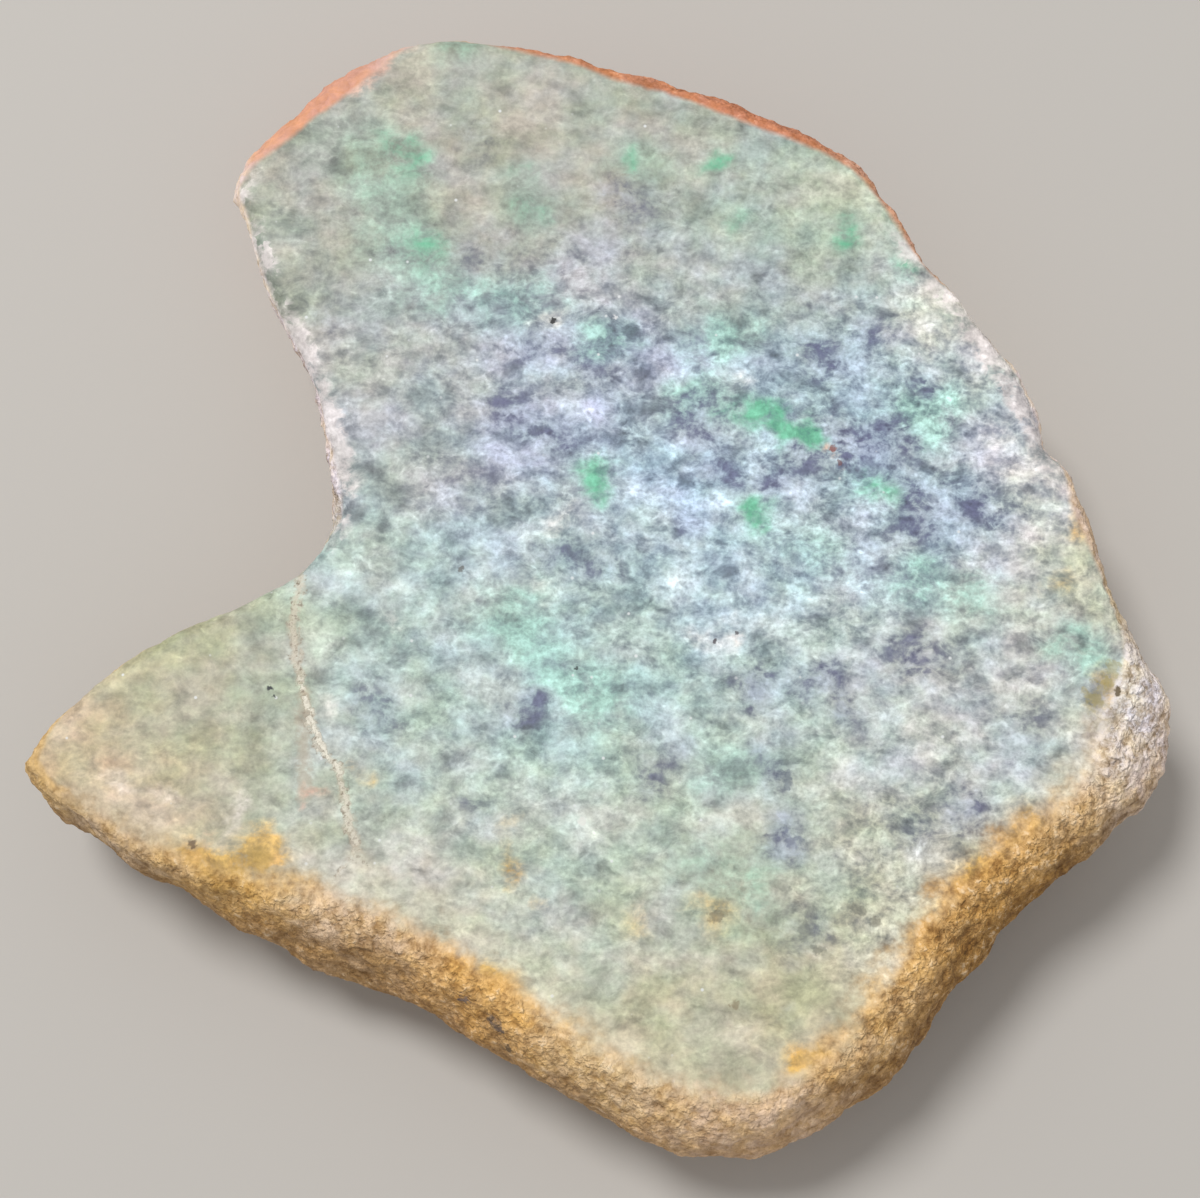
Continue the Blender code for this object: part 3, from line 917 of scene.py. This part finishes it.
def grainCells(grain, size, seamWidth, seamHides):  # interlocking grains, each its own shade, and their seams
    cell = grain.pen.cells(grain.swirled, size)
    seam = 1 - grain.pen.cells(grain.swirled, size, "DISTANCE_TO_EDGE").eased(0.0, seamWidth)
    return cell, seam, (cell.other(1) - 0.5) * (1 - seam * seamHides)


def shadeGrain(grain):  # adds the light of each grain, coarse and fine, to what the layers share
    pen = grain.pen
    broad = pen.noise(grain.laid, jade["broadSize"], 1, 0.5)
    large, largeSeam, largeShade = grainCells(grain, *jade["largeGrain"])
    small, smallSeam, smallShade = grainCells(grain, *jade["smallGrain"])
    darker = (large.other(1) - grain.lilac * 0.4).eased(0.34, 0.1)
    blob = darker * (1 - large.eased(0.0, 0.8)) * (1 - largeSeam)
    fibreNoise = pen.noise(grain.swirled, jade["fibreSize"], 2, 0.5)
    fibres = (1 - fibreNoise.away(0.5) * jade["fibreThin"]).most(0) * grain.veil.eased(0.45, 0.62)
    flecks = pen.dots(grain.swirled, jade["fleckSize"], 0.1, 0.34, 0.55, 0.8)
    depth = (grain.ragged + (broad - 0.5) * shades["broad"] + largeShade * shades["large"]
             - blob * shades["blob"] + largeSeam * grain.veil.ranged(0.3, 0.7) * shades["largeSeam"]
             + fibres * shades["fibre"] - grain.lilac * shades["lilac"] - shades["depthDrop"])
    texture = (smallShade * shades["small"] + smallSeam * shades["smallSeam"] + flecks * shades["fleck"]
               + (grain.fine - 0.5) * shades["fine"] - shades["textureDrop"])
    gain = (1 + depth * grain.contrast * jade["gain"]).notBelow(jade["darkest"], 0.5)
    grain.small = small
    grain.texture = texture
    grain.gain = gain * (1 + texture * grain.contrast * jade["gain"])
    grain.dark = 1 - grain.gain.ranged(jade["darkest"], 1.0)


def lit(grain, paint, strength):  # a paint lightened and darkened by the grain, more or less strongly
    return grain.pen.times(paint, 1 + (grain.gain - 1) * strength)


def jadeColour(grain):
    pen = grain.pen
    colour = pen.times(groundColour(grain), grain.gain)
    veined = torn(grain, pen.field("green")).eased(0.12, 1.05)
    colour = pen.mixed(veined * shares["vein"], colour, lit(grain, paintOf(*jade["vein"]), 0.45))
    darkShare = grain.dark * grain.contrast.ranged(0.5, 0.9)
    colour = pen.mixed(darkShare, colour, pen.times(colour, jade["darkHue"]))
    lilacPaint = pen.times(paintOf(*jade["lilacDark"]), 1 + grain.texture * 1.2)
    lilacShare = grain.dark.ranged(0.2, 0.9) * grain.lilac.ranged(0.1, 0.7)
    colour = pen.mixed(lilacShare * shares["lilacDark"], colour, lilacPaint)
    # crystal faces that catch the light
    glints = pen.dots(grain.places, jade["glintSize"], 0.04, 0.11, 0.55, 0.75)
    return pen.mixed(glints * shares["glint"], colour, jade["glint"])


def stainedOver(grain, colour):  # ochre and orange stains, pinkish ones, frost and a weathered haze
    pen = grain.pen
    stained = torn(grain, pen.field("stain")).ranged(0.15, 0.95)
    orangeShare = pen.noise(grain.places, jade["stainSize"], 2).eased(0.46, 0.66)
    stainPaint = pen.mixed(orangeShare, paintOf(*jade["ochre"]), paintOf(*jade["orange"]))
    colour = pen.mixed(stained * shares["stain"], colour, lit(grain, stainPaint, 1.8))
    blushed = torn(grain, pen.field("blush")).eased(0.2, 0.9)
    colour = pen.mixed(blushed * shares["blush"], colour, pen.times(paintOf(*jade["blush"]), grain.gain))
    grainy = 1 + (grain.small.other(1) - 0.5) * 1.2
    frosted = torn(grain, pen.field("frost") * grainy).ranged(0.25, 0.7)
    colour = pen.mixed(frosted * shares["frost"], colour, lit(grain, paintOf(*jade["frost"]), 0.6))
    clear = (grain.showing + (grain.veil - 0.5) * 8.0 + grain.ragged * 1.5).ranged(-0.5, 5.0)
    haze = grain.south * (1 - clear) * (1 - stained)
    return pen.mixed(haze * shares["haze"], colour, pen.times(paintOf(*jade["fog"]), grain.gain))


def crackedOver(grain, colour):  # a healed crack: a tan band, a broken whitish core and dark grit
    pen = grain.pen
    fine = grain.fine - 0.5
    middle = grain.middle - 0.5
    away = pen.field("crack").least(pen.field("fork") + crack["forkGap"])
    band = 1 - (away + fine * 1.0 + middle * 1.2).eased(0.15, 0.85)
    broken = pen.noise(grain.places, crack["coreSize"], 2).eased(0.38, 0.52)
    core = (1 - (away + fine * 1.8).eased(0.24, 0.62)) * broken
    core = core * (0.6 + grain.fine.eased(0.38, 0.55) * 0.4) * pen.field("crackFill")
    grit = (1 - away.eased(0.4, 1.2)) * grain.fine.eased(0.46, 0.34)
    seam = 1 - (pen.field("seam") + fine * 1.4 + middle * 2.4).eased(0.2, 1.5)
    colour = pen.mixed(seam * crack["seamShare"], colour, paintOf(*crack["band"]))
    colour = pen.mixed(band * crack["bandShare"], colour, paintOf(*crack["band"]))
    colour = pen.mixed(grit * crack["gritShare"], colour, paintOf(*crack["grit"]))
    return pen.mixed(core * crack["coreShare"], colour, paintOf(*crack["core"])), core


def rindLayers(grain):  # crumbs, knobs and grains of the rind, outside the cut
    pen = grain.pen
    level = pen.vectors("MULTIPLY", grain.places, (1, 1, rind["flattened"]))
    shoved = pen.pushed(level, *rind["bend"])
    knob = pen.cells(shoved, rind["knobSize"])
    small = pen.cells(shoved, rind["grainSize"])
    return SimpleNamespace(
        crumb=pen.noise(level, rind["crumbSize"], 3, 0.68, 0.3),
        grit=pen.noise(level, rind["gritSize"], 2, 0.6),
        knob=knob,
        small=small,
        knobHeight=1 - knob.eased(0.05, 0.8),
        smallHeight=1 - small.eased(0.05, 0.8),
        contrast=pen.field("rindContrast"),
    )


def rindColourAndShade(grain, layers):  # crests lightened as painted highlight, crevices darkened and browned as painted shade, partly the rind's own colour
    pen = grain.pen
    # the rind's heights paint shade into its hollows and light onto its crests; the cells' own tones add
    # grain
    relief = ((layers.crumb - 0.5) * 2.2 + (layers.knobHeight - 0.5) * 0.3
              + (layers.knob.other(1) - 0.5) * 0.3 + (layers.small.other(1) - 0.5) * 0.34
              + (layers.smallHeight - 0.5) * 0.2 + (layers.grit - 0.5) * 0.7 + pen.field("relief") * 0.25)
    gain = rind["light"] + relief * layers.contrast
    patchy = pen.noise(grain.places, rind["patchSize"], 3, 0.6) + (layers.knob.other(1) - 0.5) * 0.2
    hueShift = pen.mixed(patchy.ranged(0.35, 0.65), rind["yellowing"], rind["greying"])
    colour = pen.times(pen.times(pen.colourField("rindTintAndShade"), hueShift), gain.notBelow(0.35, 0.4))
    # a painted highlight on the highest crests, then a browner painted shade in the crevices
    colour = pen.mixed(gain.eased(1.15, 1.7) * rind["crestHighlightShare"], colour, paintOf(*rind["crestHighlight"]))
    return pen.mixed(1 - gain.ranged(0.4, 1.0), colour, pen.times(colour, rind["creviceShadeHue"]))


def rindShare(grain):  # 1 on the rind, 0 on the jade, blurred where the cut's edge is weathered
    wobble = (grain.middle - 0.5) * 4.0 + (grain.veil - 0.5) * 7.0
    edge = grain.showing + wobble * (0.12 + grain.south * 0.88)
    crisp = 1 - edge.eased(*rind["crispEdge"])
    soft = 1 - edge.eased(*rind["softEdge"])
    return crisp * (1 - grain.south) + soft * grain.south


def markedOver(grain, colour):  # small dark pits and pale specks
    ripped = grain.pen.pushed(grain.places, *rip)
    frayed = grain.pen.pushed(ripped, *fray)
    for x, y, z, radius, paint, strength in marks:
        mark = grain.pen.spot(frayed if radius > frayedFrom else ripped, (x, y, z), radius)
        colour = grain.pen.mixed(mark * strength, colour, paintOf(*paint))
    return colour


def stoneHeight(grain, layers, core):  # what the bump raises: the rind's layers and the crack's dip
    coarse = (1 - grain.pen.field("inset").eased(-2.6, 0.2)) * layers.contrast
    rindHeight = (layers.crumb * heights["crumb"] + layers.knobHeight * heights["knob"]
                  + layers.smallHeight * heights["grain"] + layers.grit * heights["grit"])
    return rindHeight * coarse + grain.fine * heights["fine"] - core * heights["crack"]


def jadeFinish():
    material = bpy.data.materials.new("jade")
    material.use_nodes = True
    material.node_tree.nodes.clear()
    grain = sharedGrain(material.node_tree)
    shadeGrain(grain)
    colour, core = crackedOver(grain, stainedOver(grain, jadeColour(grain)))
    layers = rindLayers(grain)
    outside = rindShare(grain)
    colour = markedOver(grain, grain.pen.mixed(outside, colour, rindColourAndShade(grain, layers)))
    rough = surface["faceRough"] + outside * surface["rindRougher"]
    rough = rough + (grain.fine - 0.5) * surface["fineRougher"]
    bumpy = grain.pen.add("ShaderNodeBump", None, {
        "Strength": 1.0, "Distance": surface["bumpDepth"], "Height": stoneHeight(grain, layers, core)})
    shader = grain.pen.add("ShaderNodeBsdfPrincipled", None, {
        "Base Color": colour, "Roughness": rough, "Normal": bumpy,
        "IOR": surface["ior"], "Specular IOR Level": surface["specular"]})
    grain.pen.add("ShaderNodeOutputMaterial", None, {"Surface": shader})
    print("jade finish made")
    return material


view = dict(
    tilt=12.0,              # degrees off straight down, from the south
    distance=0.330,         # m to the middle of the cut face
    lens=73.33,             # mm
    sensor=36,              # mm wide
    nearest=0.01,           # m, what is closer to the camera isn't shown
    aim=(0.00007, -0.00385, 0.028),     # m, a point on the cut face
)
light = dict(
    keyFrom=(-0.62, 0.62, 1.72),        # m
    keySize=0.6,            # m across
    keyPower=21.0,          # W
    fill=0.42,              # strength of the even sky
)
floorLook = dict(
    width=4,                # m
    colour=(0.60, 0.57, 0.53, 1),
    rough=0.8,
)


def setCamera():
    data = bpy.data.cameras.new("camera")
    data.lens = view["lens"]
    data.sensor_width = view["sensor"]
    data.clip_start = view["nearest"]
    camera = bpy.data.objects.new("camera", data)
    bpy.context.scene.collection.objects.link(camera)
    tilt = math.radians(view["tilt"])
    aim = Vector(view["aim"])
    camera.location = aim + view["distance"] * Vector((0, -math.sin(tilt), math.cos(tilt)))
    camera.rotation_euler = (tilt, 0, 0)
    bpy.context.scene.camera = camera


def setLight():
    data = bpy.data.lights.new("key", "AREA")
    data.shape = "DISK"
    data.size = light["keySize"]
    data.energy = light["keyPower"]
    key = bpy.data.objects.new("key", data)
    bpy.context.scene.collection.objects.link(key)
    key.location = light["keyFrom"]
    key.rotation_euler = (-Vector(light["keyFrom"])).to_track_quat("-Z", "Y").to_euler()
    world = bpy.data.worlds.new("studio")
    world.use_nodes = True
    sky = world.node_tree.nodes["Background"]
    sky.inputs["Color"].default_value = (1, 1, 1, 1)
    sky.inputs["Strength"].default_value = light["fill"]
    bpy.context.scene.world = world


def setFloor():
    bpy.ops.object.select_all(action="DESELECT")
    bpy.ops.mesh.primitive_plane_add(size=floorLook["width"], location=(0, 0, 0))
    floor = bpy.context.object
    floor.name = "floor"
    material = bpy.data.materials.new("floor")
    material.use_nodes = True
    shader = material.node_tree.nodes["Principled BSDF"]
    shader.inputs["Base Color"].default_value = floorLook["colour"]
    shader.inputs["Roughness"].default_value = floorLook["rough"]
    floor.data.materials.append(material)


stone = makeStone()
paintStone(stone)
stone.data.materials.append(jadeFinish())
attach(stone, "root")
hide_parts("jade_boulder")

setCamera()
setLight()
setFloor()
bpy.context.scene.view_settings.view_transform = "Standard"
print("camera, light and floor set")
